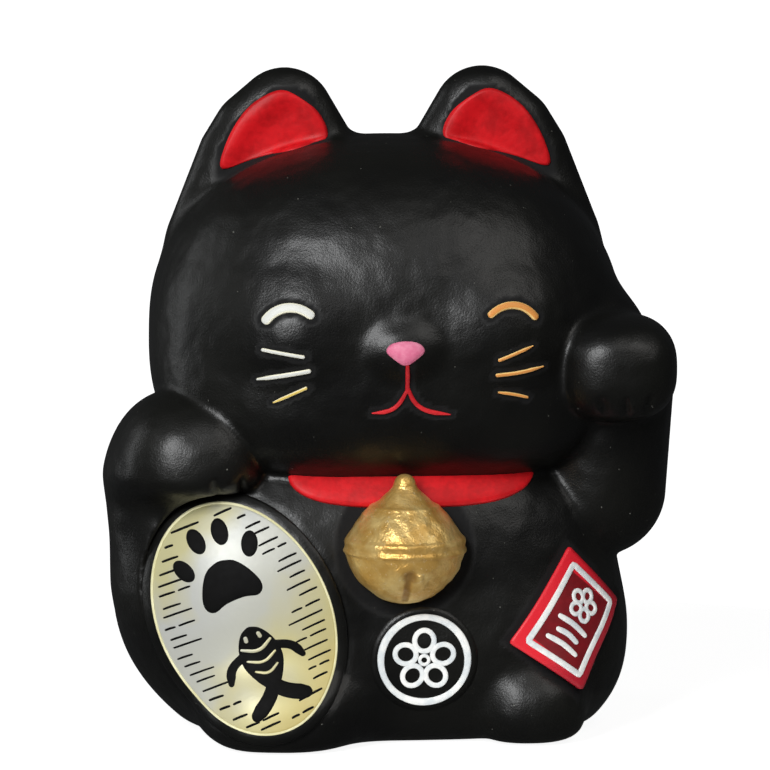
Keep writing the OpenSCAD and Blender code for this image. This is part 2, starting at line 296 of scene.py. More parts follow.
def on_plane(p, turn, lean, middle):
    """Points as seen on an upright plane swung by a turn, then turned back by a lean about a middle."""
    a = math.radians(turn)
    flat = np.stack([p[..., 0] * math.cos(a) + p[..., 1] * math.sin(a), p[..., 2]], -1)
    return leaned(flat - middle, -lean, 0)


def coin_room(p, bed):
    """Space over the coin's oval and in front of its bed, which the paw may not fill."""
    flat = on_plane(p, COIN_TURN, COIN_LEAN, coin_middle)
    rim = 1.5
    across = np.hypot(flat[..., 0] / (leaf_short + rim), flat[..., 1] / (leaf_long + rim)) - 1
    return np.maximum(np.maximum(across * leaf_short, -bed), p[..., 1])


# %% Arms and tail
def raised_arm(p):
    """Forearm, paw and the back of the hand that leans on the cheek."""
    wrist = spot("raised_arm", 0.524, 0.558, 0.631)
    elbow = spot("raised_arm", 0.441, 0.65, 0.253)
    forearm = limb(p, wrist, elbow, 8.4, 9.2)
    paw = bulge(p, spot("raised_arm", 0.515, 0.275, 0.75), reach("raised_arm", 0.452, 0.35, 0.2), None, 2.6)
    return weld(forearm, paw, 1.4)


def holding_arm(p):
    """Shoulder and paw that rest on the coin."""
    drop = reach("holding_arm", 0, 0, 0.16)[2]
    paw = bulge(p, spot("holding_arm", 0.512, 0.438, 0.625), reach("holding_arm", 0.483, 0.438, 0.378), drop)
    top = spot("holding_arm", 0.437, 0.56, 0.503)
    foot = spot("holding_arm", 0.536, 0.56, 0.104)
    shoulder = limb(p, top, foot, 9.6, 10.6)
    return weld(paw, shoulder, 4.0)


def tail(p):
    """Two short limbs that curl up the back."""
    root = spot("tail", 0.677, 0.094, 0.306)
    bend = spot("tail", 0.611, 0.488, 0.552)
    tip = spot("tail", 0.248, 0.544, 0.768)
    return weld(limb(p, root, bend, 5, 4.6), limb(p, bend, tip, 4.6, 3.8), 1.5)


# %% [markdown]
# Toes are short grooves pressed into the paws. Underneath, a round seat takes the floor disc, and a
# deeper pit behind it leaves room for the stopper's plug.

# %% Toes, seat and the whole cat
TOES = (
    (raised_arm, "raised_arm", (0.37, 0.65), (0.41, 0.60)),
    (raised_arm, "raised_arm", (0.55, 0.65), (0.56, 0.59)),
    (raised_arm, "raised_arm", (0.73, 0.66), (0.70, 0.60)),
    (holding_arm, "holding_arm", (0.62, 0.60), (0.66, 0.52)),
    (holding_arm, "holding_arm", (0.80, 0.60), (0.81, 0.53)),
)


def on_front(field, node, across, up):
    """March straight back by the distance left, from in front of a node, to the field's zero."""
    place = spot(node, across, -0.5, up)
    for _ in range(60):
        place = place + np.array([0, 0.75 * float(field(place)), 0])
    return place


toe_lines = [(on_front(arm, node, *a), on_front(arm, node, *b)) for arm, node, a, b in TOES]


def toes(p):
    """Nearest of the thin limbs that press the toe grooves into the paws' fronts."""
    return np.min([limb(p, a, b, 0.45, 0.25) for a, b in toe_lines], axis=0)


def drum(p, node, rim, top):
    """Upright cylinder on a node's axis: the larger of the overshoot sideways and upwards."""
    low, high = corners(node)
    middle = (low + high) / 2
    radius = (high[0] - low[0]) / 2 + rim
    across = np.hypot(p[..., 0] - middle[0], p[..., 1] - middle[1]) - radius
    return np.maximum(across, p[..., 2] - top)


def cat(p):
    """The whole casting above the floor. The left arm's crease is soft low down and sharp at the cheek."""
    back_of_hand = bulge(p, spot("raised_arm", 0.369, 0.612, 0.816),
                         reach("raised_arm", 0.444, 0.306, 0.213), None, 2)
    head = weld(crown(p), back_of_hand, 3.0)
    bed = coin_bed(p)
    body = weld(bed, head, 1.0)
    body = weld(body, raised_arm(p), 1.2)
    crease = 0.9 + 1.6 * ramp_down(p[..., 2], 29, 36)
    body = weld(body, holding_arm(p), crease)
    body = carve(body, coin_room(p, bed), 0.6)
    body = weld(body, tail(p), 1.5)
    body = carve(body, toes(p), 0.5)
    body = carve(body, p[..., 2], 2.0)
    plate_top = corners("base_plate")[1][2]
    body = carve(body, drum(p, "base_plate", 0.25, plate_top + 0.3), 0.25)
    return carve(body, drum(p, "stopper", 0.5, plate_top + 12), 0.25)


probe = np.array([[0.0, -60.0, 50.0], [0.0, 0.0, 50.0]])
print("distance in front and inside:", cat(probe).round(1).tolist())

# %% [markdown]
# ## From formula to mesh
# Surface nets turn a field into quads. A fine grid is laid over the figure, each grid cell that
# the skin crosses gets one point, and each grid edge that it crosses gets one quad. The points
# are then pulled onto the skin along its slope. A coarse grid first finds where the skin is, so
# that the fine grid is only worked out near it.

# %% Slope and pull
def slope(field, p, step=0.05):
    """Central differences along the three axes."""
    offsets = np.eye(3) * step
    return np.stack([field(p + o) - field(p - o) for o in offsets], axis=-1) / (2 * step)


def pull_on(field, p, rounds=3):
    """Newton steps along the slope onto the skin."""
    for _ in range(rounds):
        g = slope(field, p)
        step = field(p)[..., None] * g / np.maximum((g * g).sum(-1, keepdims=True), 0.05)
        p = p - np.clip(step, -0.5, 0.5)
    return p


def outward(field, p):
    """Unit slope of the field."""
    g = slope(field, p)
    return g / np.linalg.norm(g, axis=-1, keepdims=True)


# %% Surface nets
def near_grid(field, low, cell, shape, block):
    """Field on a fine grid, worked out only in blocks that the skin may cross."""
    coarse_shape = [-(-n // block) for n in shape]
    axes = [low[i] + cell * (block * np.arange(coarse_shape[i]) + (block - 1) / 2) for i in range(3)]
    coarse = field(np.stack(np.meshgrid(*axes, indexing="ij"), axis=-1))
    wide = coarse.repeat(block, 0).repeat(block, 1).repeat(block, 2)[:shape[0], :shape[1], :shape[2]]
    close = np.abs(wide) < 1.5 * cell * block
    values = np.sign(wide) * 10
    values[close] = field(low + cell * np.argwhere(close))
    return values


def nets(field, low, high, cell, block=4):
    """One point in each crossed cell, one quad round each crossed grid edge."""
    shape = tuple(np.ceil((high - low) / cell).astype(int) + 1)
    values = near_grid(field, low, cell, shape, block)
    inside = values < 0
    offsets = [(i, j, k) for i in (0, 1) for j in (0, 1) for k in (0, 1)]
    count = sum(inside[i:shape[0] - 1 + i, j:shape[1] - 1 + j, k:shape[2] - 1 + k].astype(np.int8)
                for i, j, k in offsets)
    cells = np.argwhere((count > 0) & (count < 8))
    number = np.full([n - 1 for n in shape], -1)
    number[tuple(cells.T)] = np.arange(len(cells))
    total = np.zeros((len(cells), 3))
    hits = np.zeros((len(cells), 1))
    for first in offsets:
        for axis in range(3):
            if first[axis]:
                continue
            second = tuple(1 if i == axis else v for i, v in enumerate(first))
            a = values[tuple((cells + first).T)]
            b = values[tuple((cells + second).T)]
            crossed = (a < 0) != (b < 0)
            t = np.where(crossed, a / np.where(crossed, a - b, 1), 0)
            place = np.array(first) + t[:, None] * (np.array(second) - np.array(first))
            total += place * crossed[:, None]
            hits += crossed[:, None]
    points = low + cell * (cells + total / hits)
    quads = []
    for axis in range(3):
        u, v = [i for i in range(3) if i != axis]
        edge = np.eye(3, dtype=int)[axis]
        start = [slice(0, shape[i] - 1) if i == axis else slice(1, shape[i] - 1) for i in range(3)]
        stop = [slice(1, shape[i]) if i == axis else slice(1, shape[i] - 1) for i in range(3)]
        here, there = inside[tuple(start)], inside[tuple(stop)]
        at = np.argwhere(here != there) + 1 - edge
        back_u, back_v = np.eye(3, dtype=int)[u], np.eye(3, dtype=int)[v]
        quad = np.stack([number[tuple((at - back_u - back_v).T)], number[tuple((at - back_v).T)],
                         number[tuple(at.T)], number[tuple((at - back_u).T)]], axis=1)
        flip = inside[tuple(at.T)] == (axis == 1)
        quad[flip] = quad[flip][:, ::-1]
        quads.append(quad)
    return points, np.concatenate(quads)


# %% [markdown]
# ## Making pieces
# Most pieces are a grid of points whose columns run round, woven into quads. One helper puts the
# points and faces into a mesh, in metres. It turns the faces outwards if the signed volume says
# that they point in, and stores numbers per point for the materials.

# %% Piece maker
def signed_volume(points, faces):
    """Sum of the tetrahedra between the origin and each face's fan of triangles."""
    total = 0.0
    for size in {len(f) for f in faces}:
        same = np.array([f for f in faces if len(f) == size])
        for i in range(1, size - 1):
            a, b, c = points[same[:, 0]], points[same[:, i]], points[same[:, i + 1]]
            total += np.einsum("ij,ij->i", a, np.cross(b, c)).sum() / 6
    return total


def facing_out(points, faces):
    """The faces as they are, or all turned over if their signed volume is negative."""
    faces = [list(face) for face in faces]
    return [face[::-1] for face in faces] if signed_volume(points, faces) < 0 else faces


def make_piece(name, points, faces, nodes=(), numbers=None, uv=None):
    """Mesh object at the origin, riding on the figure and standing for its CAD nodes."""
    mesh = bpy.data.meshes.new(name)
    mesh.from_pydata((points * MM).tolist(), [], facing_out(points, faces))
    mesh.shade_smooth()
    for key, values in (numbers or {}).items():
        mesh.attributes.new(key, "FLOAT", "POINT").data.foreach_set("value", values.astype(np.float32))
    if uv is not None:
        order = np.empty(len(mesh.loops), dtype=np.int32)
        mesh.loops.foreach_get("vertex_index", order)
        mesh.uv_layers.new(name="UVMap").data.foreach_set("uv", uv[order].astype(np.float32).ravel())
    mesh.validate()
    piece = bpy.data.objects.new(name, mesh)
    bpy.context.collection.objects.link(piece)
    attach(piece, BODY)
    if nodes:
        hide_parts(*nodes)
    return piece


def woven(rows, columns, closed=False):
    """Quads of a grid whose columns run round, and whose rows close too if asked: each quad joins
    a point to its neighbours in the next row and the next column."""
    row, col = np.meshgrid(np.arange(rows if closed else rows - 1), np.arange(columns), indexing="ij")
    after, beside = (row + 1) % rows, (col + 1) % columns
    corners_in_turn = [row * columns + col, after * columns + col,
                       after * columns + beside, row * columns + beside]
    return np.stack(corners_in_turn, -1).reshape(-1, 4).tolist()


def caps(rows, columns):
    """One face over the first row and one over the last, turned the same way as the woven quads."""
    first = list(range(columns))
    return [first, [(rows - 1) * columns + i for i in first[::-1]]]


def joined(parts):
    """Several (points, faces, uv) parts as one: each faces out, and its face numbers are moved along."""
    starts = np.cumsum([0] + [len(points) for points, _, _ in parts])
    faces = [[i + start for i in face] for (points, part, _), start in zip(parts, starts)
             for face in facing_out(points, part)]
    return np.concatenate([p for p, _, _ in parts]), faces, np.concatenate([uv for _, _, uv in parts])


# %% [markdown]
# ## Laying outlines on the figure
# The enamel, the coin and the tag are drawn flat and laid on the curved skin, as a decorator's
# brush does. A flat point is sent towards the figure along a fixed direction until the field is
# zero, and then lifted along the skin's slope. The plane faces the viewer, or is swung round the
# upright axis by a turn for the coin and the tag.

# %% Drape
def drape(flat, turn, field):
    """March each ray by the distance left, so that it stops on the skin, and read the slope there."""
    a = math.radians(turn)
    across = np.array([math.cos(a), math.sin(a), 0])
    out = np.array([math.sin(a), -math.cos(a), 0])
    start = flat[..., :1] * across + flat[..., 1:] * np.array([0, 0, 1]) + 60 * out
    travel = np.zeros(flat.shape[:-1])
    for _ in range(60):
        travel += 0.75 * field(start - travel[..., None] * out)
    landed = start - travel[..., None] * out
    return landed, outward(field, landed)


# %% Smooth lines and brush strokes
def smooth_line(points, closed=False, rounds=4):
    """Corner cutting: each round replaces a corner by two points, a quarter in from each side."""
    line = np.array(points, float)
    for _ in range(rounds):
        after = np.roll(line, -1, 0) if closed else line[1:]
        before = line if closed else line[:-1]
        cut = np.stack([0.75 * before + 0.25 * after, 0.25 * before + 0.75 * after], 1).reshape(-1, 2)
        line = cut if closed else np.concatenate([line[:1], cut, line[-1:]])
    return line


def at_lengths(line, lengths, closed=False):
    """Points on a line at given distances along it."""
    if closed:
        line = np.concatenate([line, line[:1]])
    steps = np.linalg.norm(np.diff(line, axis=0), axis=1)
    along = np.concatenate([[0], np.cumsum(steps)])
    return np.stack([np.interp(lengths * along[-1], along, line[:, i]) for i in range(2)], 1)


def brush(points, width, thin=(1.0, 1.0), count=40):
    """Smooth stroke with round ends: the width follows a half circle over each end's last stretch."""
    line = smooth_line(points)
    half = width / 2 * np.array(thin)
    first = line[1] - line[0]
    last = line[-1] - line[-2]
    head = line[0] - first / np.linalg.norm(first) * half[0]
    foot = line[-1] + last / np.linalg.norm(last) * half[1]
    line = np.concatenate([[head], line, [foot]])
    length = np.linalg.norm(np.diff(line, axis=0), axis=1).sum()
    t = (1 - np.cos(np.pi * np.arange(count) / (count - 1))) / 2
    body = np.interp(t, [0, 0.25, 0.75, 1], [thin[0], 1, 1, thin[1]])
    from_start, from_end = t * length, (1 - t) * length
    cap_start = np.sqrt(np.clip(1 - np.clip(1 - from_start / half[0], 0, 1) ** 2, 0.001, 1))
    cap_end = np.sqrt(np.clip(1 - np.clip(1 - from_end / half[1], 0, 1) ** 2, 0.001, 1))
    return at_lengths(line, t), width * body * cap_start * cap_end


# %% Bead along a path, and patch inside an outline
def bead(path, width, height, turn=0, field=cat, closed=False, sides=12, lift=0.0, sink=0.12):
    """Rounded band: a flattened superellipse carried along a path on the skin."""
    width = np.broadcast_to(width, (len(path),))
    if closed:
        tangent = np.roll(path, -1, 0) - np.roll(path, 1, 0)
    else:
        tangent = np.gradient(path, axis=0)
    tangent = tangent / np.maximum(np.linalg.norm(tangent, axis=1, keepdims=True), 1e-9)
    sideways = np.stack([-tangent[:, 1], tangent[:, 0]], 1)
    phi = 2 * np.pi * np.arange(sides) / sides
    across = np.sign(np.cos(phi)) * np.abs(np.cos(phi)) ** 0.7
    up = np.sign(np.sin(phi)) * np.abs(np.sin(phi)) ** 0.7
    flat = path[:, None] + sideways[:, None] * (across[None, :] * width[:, None] / 2)[..., None]
    landed, normal = drape(flat, turn, field)
    full = np.clip(width / width.max(), 0, 1)[:, None] ** 0.5
    raise_by = np.where(up > 0, up * height * full + lift, up * sink + lift)
    points = (landed + normal * raise_by[..., None]).reshape(-1, 3)
    rows = len(path)
    faces = woven(rows, sides, closed)
    if not closed:
        faces += caps(rows, sides)
    uv = np.stack(np.broadcast_arrays(0.5 + 0.5 * across[None, :], np.linspace(0, 1, rows)[:, None]), -1)
    return points, faces, uv.reshape(-1, 2)


def patch(outline, middle, heights, turn=0, field=cat, rings=12, sink=0.15, lift=0.0):
    """Closed plate: rings of a shrinking outline on top, and the same rings underneath."""
    middle = np.array(middle, float)
    share = np.linspace(0, 1, rings + 1)[1:]
    share = np.concatenate([share, share[::-1]])
    flat = middle + share[:, None, None] * (outline - middle)[None]
    landed, normal = drape(flat, turn, field)
    raise_by = np.where(np.arange(2 * rings) < rings, heights(share) + lift, -sink)
    points = (landed + normal * raise_by[:, None, None]).reshape(-1, 3)
    rows, cols = flat.shape[:2]
    hub, hub_normal = drape(middle[None], turn, field)
    hub_height = heights(np.zeros(1))[0] + lift
    points = np.concatenate([points, hub + hub_normal * hub_height, hub - hub_normal * sink])
    faces = woven(rows, cols)
    edge = np.arange(cols)
    around = (edge + 1) % cols
    last = (rows - 1) * cols
    faces += np.stack([np.full(cols, rows * cols), edge, around], 1).tolist()
    faces += np.stack([np.full(cols, rows * cols + 1), last + around, last + edge], 1).tolist()
    flat_all = np.concatenate([flat.reshape(-1, 2), middle[None], middle[None]])
    return points, faces, 0.5 + 0.5 * (flat_all - middle) / np.abs(outline - middle).max()


# %% [markdown]
# ## The ornaments' lines
# All the flat lines are worked out first, because the glaze is made solid black round each of
# them, partly as an outline and partly as painted shade where the ornaments meet the skin, and the
# skin has to know where they are. The eyes are arches, the whiskers are quick strokes that thin
# out, and the mouth is a stem with two drooping branches.

# %% Lines of the face
def middle_of(node):
    """Middle of a node's box as seen from the front: across and up."""
    low, high = corners(node)
    return ((low + high) / 2)[[0, 2]]


def arch(node, radius, spread, tilt):
    """Arc of a circle, symmetric about a leaning upright."""
    top = np.array([middle_of(node)[0], corners(node)[1][2] - 0.75])
    a = np.radians(90 + tilt + np.linspace(spread, -spread, 9))
    return top + [0, -radius] + radius * np.stack([np.cos(a), np.sin(a)], 1)


def whisker_line(fx, fz, length, rise, bend=0.0):
    """Stroke of a given length and rise about a place on the head's box, read from the nose outwards."""
    middle = spot("head", fx, 0, fz)[[0, 2]]
    side = 1 if fx > 0.5 else -1
    half = length / 2 * np.array([side * math.cos(math.radians(rise)), math.sin(math.radians(rise))])
    return np.array([middle - half, middle + [0, bend], middle + half])


mouth_low, mouth_high = corners("mouth")
fork = np.array([mouth_low[0] + 0.455 * (mouth_high - mouth_low)[0], mouth_low[2] + 3.2])
lines = {
    "eye_left": brush(arch("eye_left", 3.9, 47, 8), 1.2),
    "eye_right": brush(arch("eye_right", 3.9, 49, -5), 0.94),
    "whisker_left_top": brush(whisker_line(0.252, 0.382, 5.2, 9), 0.46),
    "whisker_left_middle": brush(whisker_line(0.253, 0.310, 6.7, -11), 0.58, (1, 0.45)),
    "whisker_left_low": brush(whisker_line(0.267, 0.245, 4.6, -26), 0.42, (1, 0.5)),
    "whisker_right_top": brush(whisker_line(0.741, 0.375, 4.8, 21), 0.42, (1, 0.3)),
    "whisker_right_middle": brush(whisker_line(0.751, 0.315, 6.3, 8, -0.2), 0.48, (1, 0.3)),
    "whisker_right_low": brush(whisker_line(0.736, 0.238, 3.9, -12, 0.12), 0.4, (0.6, 0.8)),
    "mouth_stem": brush([[fork[0] - 0.1, mouth_high[2] + 0.1], fork + [0.05, 1.2], fork], 0.58, (0.8, 0.9)),
    "mouth_left": brush(fork + [[0, 0.3], [-0.9, -1.5], [-2.3, -2.6], [-4.6, -2.8]], 0.56, (0.7, 0.25)),
    "mouth_right": brush(fork + [[0.1, 0.5], [0.9, -1.5], [2.7, -2.7], [5.7, -3.1]], 0.6, (0.8, 0.25)),
}
print(len(lines), "face lines; mouth forks at", fork.round(1).tolist())

# %% Outlines of the coin, the medallion and the tag
TAG_TURN, TAG_LEAN, TAG_TAPER = 20, -39.5, 0.06


def oval(half_width, half_height, count=96):
    """Ellipse."""
    a = 2 * np.pi * np.arange(count) / count
    return np.stack([half_width * np.cos(a), half_height * np.sin(a)], 1)


def soft_square(half_width, half_height, corner, count=96):
    """Rectangle with corners cut round by a radius."""
    w, h = half_width - corner, half_height - corner
    a = np.radians(np.arange(0, 90, 15))
    arcs = [np.stack([sx * w + corner * np.cos(a + turn), sy * h + corner * np.sin(a + turn)], 1)
            for sx, sy, turn in ((1, 1, 0), (-1, 1, np.pi / 2), (-1, -1, np.pi), (1, -1, 1.5 * np.pi))]
    return at_lengths(np.concatenate(arcs), np.arange(count) / count, closed=True)


tag_middle = np.array([15.05, 16.35])
tag_half = np.array([5.75, 7.3])
medal_middle = middle_of("medallion_ring")
medal_r = (corners("medallion_ring")[1][0] - corners("medallion_ring")[0][0]) / 2
bell_low, bell_high = corners("bell")
bell_middle = np.array([(bell_low[0] + bell_high[0]) / 2 + 0.15, 0, bell_low[2] + 6.7])
print("coin", coin_middle, "tag", tag_middle, "medal", medal_middle.round(1), round(medal_r, 1))

# %% [markdown]
# ## The glazed skin
# The mesh is made from the field, pulled onto it, and told how close each point is to an
# ornament, because the glaze is solid black round each one: partly a painted outline and partly
# painted shade where the ornament meets the skin.

# %% Skin mesh
def near_lines(flat, path, reach_out):
    """Shortest distance from flat points to the points of a path, less half its width."""
    line, width = path
    close = np.abs(flat - line.mean(0)).max(1) < 12
    result = np.full(len(flat), 99.0)
    gap = np.linalg.norm(flat[close][:, None] - line[None], axis=-1) - width[None] / 2
    result[close] = gap.min(1)
    return ramp_down(result, reach_out * 0.6, reach_out)


low, high = np.array(cad_box) / MM
cell = 0.55
skin_points, skin_quads = nets(cat, low - 2.4 * 1.03, high + 2.6 * 1.07, cell)
skin_points = pull_on(cat, skin_points)
front = skin_points[:, 1] < 0
flat_skin = skin_points[:, [0, 2]]
# Solid black round the ornaments: partly a painted outline, partly painted shade where they meet the skin.
edge = np.zeros(len(skin_points))
for path in lines.values():
    edge = np.maximum(edge, near_lines(flat_skin, path, 0.75))
edge = np.maximum(edge, ramp_down(np.hypot(*(flat_skin - bell_middle[[0, 2]]).T), 8.8, 9.8))
for node in ("lining_left", "lining_right"):
    ear_low, ear_high = corners(node)
    off = np.maximum(ear_low - 1.5 - skin_points, skin_points - ear_high - 1.5)[:, [0, 2]].max(1)
    edge = np.maximum(edge, ramp_down(off, -1.2, 0.2) * (skin_points[:, 1] > -2.5))
edge *= front
tag_flat = on_plane(skin_points, TAG_TURN, TAG_LEAN, tag_middle)
tag_gap = (np.abs(tag_flat) - tag_half).max(1)
edge = np.maximum(edge, ramp_down(tag_gap, 0.6, 1.3) * (skin_points[:, 0] > 5) * front)
skin = make_piece("glazed_body", skin_points, skin_quads,
                  ["torso", "head", "ear_left", "ear_right", "raised_arm", "holding_arm",
                   "foot_left", "foot_right", "tail"], {"painted_edge": edge})
print("skin has", len(skin_points), "points and", len(skin_quads), "quads")

# %% [markdown]
# ## Face
# Each eye, whisker and mouth line is a bead of thick enamel: nearly flat on top, round at the
# edges. The nose is a small domed patch.

# %% Eyes, whiskers and mouth
def stroke_piece(name, keys, height, nodes):
    """One piece from several beads."""
    parts = [bead(*lines[key], height, sides=14) for key in keys]
    points, faces, uv = joined(parts)
    return make_piece(name, points, faces, nodes, uv=uv)


face_pieces = {}
for side, slot in (("left", "ivory_enamel"), ("right", "orange_enamel")):
    key = "eye_" + side
    face_pieces[key] = stroke_piece("smiling_" + key, [key], 0.34, [key])
    for row in ("top", "middle", "low"):
        key = "whisker_" + side + "_" + row
        face_pieces[key] = stroke_piece("brushed_" + key, [key], 0.24, [key])
mouth_piece = stroke_piece("brushed_mouth", ["mouth_stem", "mouth_left", "mouth_right"], 0.24,
                           ["mouth"])
print(len(face_pieces) + 1, "stroke pieces")

# %% Nose
nose_middle = middle_of("nose")
NOSE = ((2.75, 0.35), (1.9, 1.45), (0, 1.75), (-1.9, 1.45), (-2.75, 0.35), (-1.5, -0.7), (0, -1.75),
        (1.5, -0.7))
nose_outline = smooth_line(nose_middle + NOSE, closed=True)
nose_outline = at_lengths(nose_outline, np.arange(48) / 48, closed=True)
points, faces, uv = patch(nose_outline, nose_middle, lambda s: 0.5 * (1 - s ** 3) + 0.12)
nose_piece = make_piece("enamel_nose", points, faces, ["nose"], uv=uv)
print("nose is", (nose_outline.max(0) - nose_outline.min(0)).round(1).tolist(), "mm")

# %% [markdown]
# ## Ear linings
# The inside of each ear is filled with red, following the dish and stopping just above the brow.
# The red is a thin patch laid in the dish.

# %% Ear linings
LINING = ((-0.05, 0.05), (0.05, 0.42), (0.18, 0.70), (0.32, 0.88), (0.50, 1.01), (0.63, 1.04),
          (0.78, 0.94), (0.94, 0.79), (1.04, 0.60), (1.07, 0.43), (1.0, 0.40), (0.73, 0.31),
          (0.32, 0.17), (0.06, 0.04))


def lining(side):
    """Patch inside a smooth outline given as fractions of the left node's box, mirrored for the right."""
    node = "lining_right" if side > 0 else "lining_left"
    low, high = corners(node)
    share = np.array(LINING)
    share[:, 0] = 1 - share[:, 0] if side > 0 else share[:, 0]
    outline = low[[0, 2]] + share * (high - low)[[0, 2]]
    outline = at_lengths(smooth_line(outline, closed=True, rounds=2), np.arange(96) / 96, closed=True)
    points, faces, uv = patch(outline, low[[0, 2]] + [6.6, 4.6],
                              lambda s: 0.16 + 0.08 * (1 - s ** 4), rings=14, sink=0.3)
    return make_piece("red_" + node, points, faces, [node], uv=uv)


ear_linings = [lining(-1), lining(1)]
print("ear linings:", [len(piece.data.polygons) for piece in ear_linings], "faces")

# %% [markdown]
# ## Collar
# The collar is a red band under the chin. It droops at the front in a shallow boat shape, and runs
# level round the nape. Its lower edge is a formula of the angle round the neck, its upper edge
# hides in the crease under the head, and it is laid on the trunk by searching outwards.

# %% Collar
def on_trunk(angle, z):
    """March inwards along a level ray from outside until the trunk's field is zero."""
    out = np.stack([np.cos(angle), np.sin(angle), np.zeros_like(angle)], -1)
    travel = np.zeros(angle.shape)
    start = np.stack([45 * np.cos(angle), 45 * np.sin(angle), z], -1)
    for _ in range(60):
        travel += 0.7 * trunk(start - travel[..., None] * out)
    landed = start - travel[..., None] * out
    return landed, outward(trunk, landed)


front_low = corners("collar_front")[0][2]
back_low = corners("collar_back")[0][2]
turns, band = 288, 16
angle = np.linspace(0, 2 * np.pi, turns, endpoint=False)
rough, _ = on_trunk(angle, np.full(turns, 34.5))
share = np.clip(np.abs(rough[:, 0] - 2.0) / 18.3, 0, 1)
droop = np.where(rough[:, 1] < 0, (1 - share ** 3.4) ** 0.65, 0)
sides = ramp_down(rough[:, 1], 2, 8)
level = back_low - 0.2 + 1.7 * sides
lower = level - (level - front_low) * droop
phi = 2 * np.pi * np.arange(band) / band
across = np.sign(np.cos(phi)) * np.abs(np.cos(phi)) ** 0.6
up = np.sign(np.sin(phi)) * np.abs(np.sin(phi)) ** 0.6
upper = 38.8
middle_z = (lower + upper) / 2
z = middle_z[:, None] + across[None, :] * ((upper - lower) / 2)[:, None]
landed, normal = on_trunk(np.broadcast_to(angle[:, None], z.shape), z)
points = (landed + normal * np.where(up > 0, 0.6 * up, 0.15 * up)[None, :, None]).reshape(-1, 3)
faces = woven(turns, band, closed=True)
uv = np.stack(np.broadcast_arrays(0.5 + 0.5 * across[None, :], (angle / (2 * np.pi))[:, None]), -1)
collar = make_piece("red_collar", points, faces, ["collar_front", "collar_back"],
                    uv=uv.reshape(-1, 2))
print("collar drops from", round(float(lower.max()), 1), "to", round(float(lower.min()), 1), "mm")

# %% [markdown]
# ## Bell
# The bell is moulded with the body and gilded. Its outline is a profile turned about the upright
# axis: a round bowl, a belt with two thin ridges, a sloping shoulder and a neck. A round hole and a
# slot below it are pressed into the front, and slow waves make it look shaped by hand.

# %% Bell
BOWL = ((0.02, -7.5), (2.4, -7.15), (4.6, -5.85), (6.3, -4.2), (7.3, -2.7), (7.75, -1.3), (7.85, -0.65))
BELT = ((8.15, -0.45), (8.15, -0.1), (7.9, 0.2), (7.95, 0.7), (8.0, 1.0), (7.85, 1.35))
SHOULDER = ((7.5, 1.6), (6.9, 2.7), (5.95, 4.1), (4.8, 5.3), (4.65, 5.65), (4.0, 5.85), (2.7, 7.0),
            (1.7, 7.9), (1.5, 8.4))
BELL_Y = -22.5
bell_place = np.array([bell_middle[0], BELL_Y, bell_middle[2]])


def turned(profile, count):
    """Profile of (radius, height) carried round the upright axis."""
    a = 2 * np.pi * np.arange(count) / count
    r = profile[:, :1]
    up = np.broadcast_to(profile[:, 1:], (len(profile), count))
    return np.stack([r * np.cos(a), r * np.sin(a), up], -1)


rows, count = 150, 220
profile = smooth_line(BOWL + BELT + SHOULDER, rounds=3)
shell = turned(at_lengths(profile, np.linspace(0, 1, rows)), count)
x, y, zz = shell[..., 0], shell[..., 1], shell[..., 2]
waves = 0.05 * np.sin(x * 0.9 + 1.3 * zz) + 0.05 * np.sin(1.7 * x - 0.8 * zz + 2)
waves += 0.04 * np.sin(2.9 * x + 2.3 * zz)
front_side = y < 0
hole = ramp_down(np.hypot(x - 0.1, zz + 3.0), 0.4, 1.2) * front_side
slit = ramp_down(np.abs(x - 0.1 - 0.06 * zz), 0.18, 0.65) * ramp_down(np.abs(zz + 4.6), 1.8, 2.6) * front_side
lip = ramp_down(np.abs(np.hypot((x - 0.1) * 0.9, zz + 3.3) - 1.7), 0.2, 0.8) * front_side
clapper = ramp_down(np.hypot(x - 1.1, zz + 3.1), 0.3, 0.9) * front_side
push = waves * ramp_down(np.abs(zz), 6.5, 8) - 0.5 * np.maximum(hole, slit) + 0.14 * lip + 0.42 * clapper
length = np.maximum(np.hypot(x, y), 0.3)
shell[..., 0] += push * x / length
shell[..., 1] += push * y / length
points = shell.reshape(-1, 3) + bell_place
# Hole and slot are marked so that the gilding paints them brown, as painted shade in the recesses.
pressed = np.clip(np.maximum(hole, slit) * 1.2, 0, 1).ravel()
bell = make_piece("gilded_bell", points, woven(rows, count) + caps(rows, count), ["bell"],
                  {"pressed": pressed})
print("bell is", round(float(np.ptp(points[:, 2])), 1), "mm tall")

# %% Knob on the bell
KNOB = ((2.2, -1.6), (1.75, -0.6), (1.55, 0.1), (1.5, 0.8), (1.15, 1.6), (0.6, 1.95), (0.02, 2.05))
KNOB_RISE = 7.75
rows, count = 40, 64
shell = turned(at_lengths(smooth_line(KNOB), np.linspace(0, 1, rows)), count)
points = shell.reshape(-1, 3) + bell_place + [0, 0, KNOB_RISE]
knob = make_piece("gilded_knob", points, woven(rows, count) + caps(rows, count), ["bell_knob"])
print("knob top is", round(float(points[:, 2].max()), 1), "mm above the floor")

# %% [markdown]
# ## Coin
# The coin is a long oval laid over the haunch, with a wide black rim and a leaf-covered face that
# carries chisel dashes. The rim is a bead round the oval, the face a gently crowned patch, and the
# black marks are thin beads on top. A paw print and a fish stand for luck.

# %% Coin rim and face
def coin_line(points):
    """From the coin's own upright plane to the swung plane that it is laid from."""
    return leaned(points, COIN_LEAN, coin_middle)


